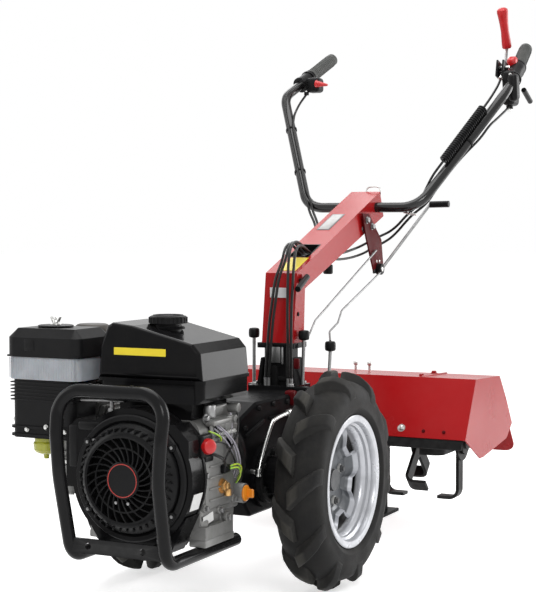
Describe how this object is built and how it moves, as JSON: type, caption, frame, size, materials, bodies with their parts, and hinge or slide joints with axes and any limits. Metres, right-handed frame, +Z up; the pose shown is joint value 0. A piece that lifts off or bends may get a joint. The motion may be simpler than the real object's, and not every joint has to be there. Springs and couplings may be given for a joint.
{
  "type": "walking tractor",
  "caption": "Petrol-engined walking tractor on lugged wheels with raised handlebars, a front bumper hoop and a hooded rear rotary tiller.",
  "frame": {"origin": "on the floor under the middle of the overall box", "axes": "+X to the operator's left along the wheel axle, -Y forward towards the engine, +Z up"},
  "size_m": [0.7, 1.7312, 1.3695],
  "materials": {
    "red_paint": "gloss red paint on steel",
    "satin_black_steel": "satin black paint on steel tube and plate",
    "black_casting": "black painted aluminium casting",
    "raw_casting": "plain cast aluminium",
    "gloss_black_tank": "gloss black paint",
    "black_plastic": "moulded black plastic",
    "milky_plastic": "translucent white plastic",
    "cup_plastic": "see-through yellow-green plastic",
    "red_plastic": "moulded red plastic",
    "orange_plastic": "moulded orange plastic",
    "grip_rubber": "moulded rubber",
    "tyre_rubber": "tyre rubber",
    "rim_silver": "silver paint on pressed steel",
    "hub_casting": "dark cast iron",
    "forged_steel": "black painted forged steel",
    "bright_steel": "bright zinc-plated steel",
    "exhaust_steel": "heat-dulled steel",
    "cable_sheath": "black plastic cable sheath"
  },
  "bodies": {
    "machine": {"air_cleaner_base": "black_plastic", "air_cleaner_cover": "black_plastic", "air_cleaner_element": "milky_plastic", "axle_housings": "black_casting", "bell_housing": "black_casting", "blower_housing": "black_plastic", "bumper_frame": "satin_black_steel", "cable_adjusters": "bright_steel", "cable_sleeve": "black_plastic", "carburettor": "raw_casting", "clutch_lever": "red_plastic", "column": "red_paint", "column_bracket": "black_casting", "control_cables": "cable_sheath", "control_housings": "black_plastic", "control_plate": "red_paint", "dust_cup": "cup_plastic", "engine_block": "raw_casting", "engine_switch": "red_plastic", "fuel_cap": "black_plastic", "fuel_tank": "gloss_black_tank", "gearbox_housing": "black_casting", "handlebar": "satin_black_steel", "handlebar_beam": "red_paint", "handlebar_grips": "grip_rubber", "hood_bar": "satin_black_steel", "hood_centre": "red_paint", "hood_left_extension": "red_paint", "hood_right_extension": "red_paint", "lever_grips": "black_plastic", "lever_rods": "bright_steel", "muffler": "exhaust_steel", "oil_cap": "orange_plastic", "recoil_cover": "black_plastic", "selector_knobs": "black_plastic", "shift_rods": "bright_steel", "skid_clamp": "satin_black_steel", "tiller_case": "black_casting", "tiller_neck": "black_casting"},
    "left_wheel": {"left_tyre": "tyre_rubber", "left_rim": "rim_silver", "left_hub": "hub_casting"},
    "right_wheel": {"right_tyre": "tyre_rubber", "right_rim": "rim_silver", "right_hub": "hub_casting"},
    "tine_rotor": {"rotor_shaft": "forged_steel", "tines": "forged_steel"},
    "flap": {"rear_flap": "red_paint"},
    "skid": {"depth_skid": "satin_black_steel"}
  },
  "joints": [
    {"name": "left_wheel_spin", "type": "hinge", "parent": "machine", "child": "left_wheel", "pos_m": [0.226, -0.3055, 0.233], "axis": [1, 0, 0], "continuous": true},
    {"name": "right_wheel_spin", "type": "hinge", "parent": "machine", "child": "right_wheel", "pos_m": [-0.226, -0.3055, 0.233], "axis": [1, 0, 0], "continuous": true},
    {"name": "tine_rotor_spin", "type": "hinge", "parent": "machine", "child": "tine_rotor", "pos_m": [0, 0.3565, 0.232], "axis": [1, 0, 0], "continuous": true},
    {"name": "rear_flap_hinge", "type": "hinge", "parent": "machine", "child": "flap", "pos_m": [0, 0.5005, 0.332], "axis": [1, 0, 0], "range_deg": [0, 60]},
    {"name": "depth_skid_slide", "type": "slide", "parent": "machine", "child": "skid", "axis": [0, 0, 1], "range_m": [0, 0.11]}
  ]
}
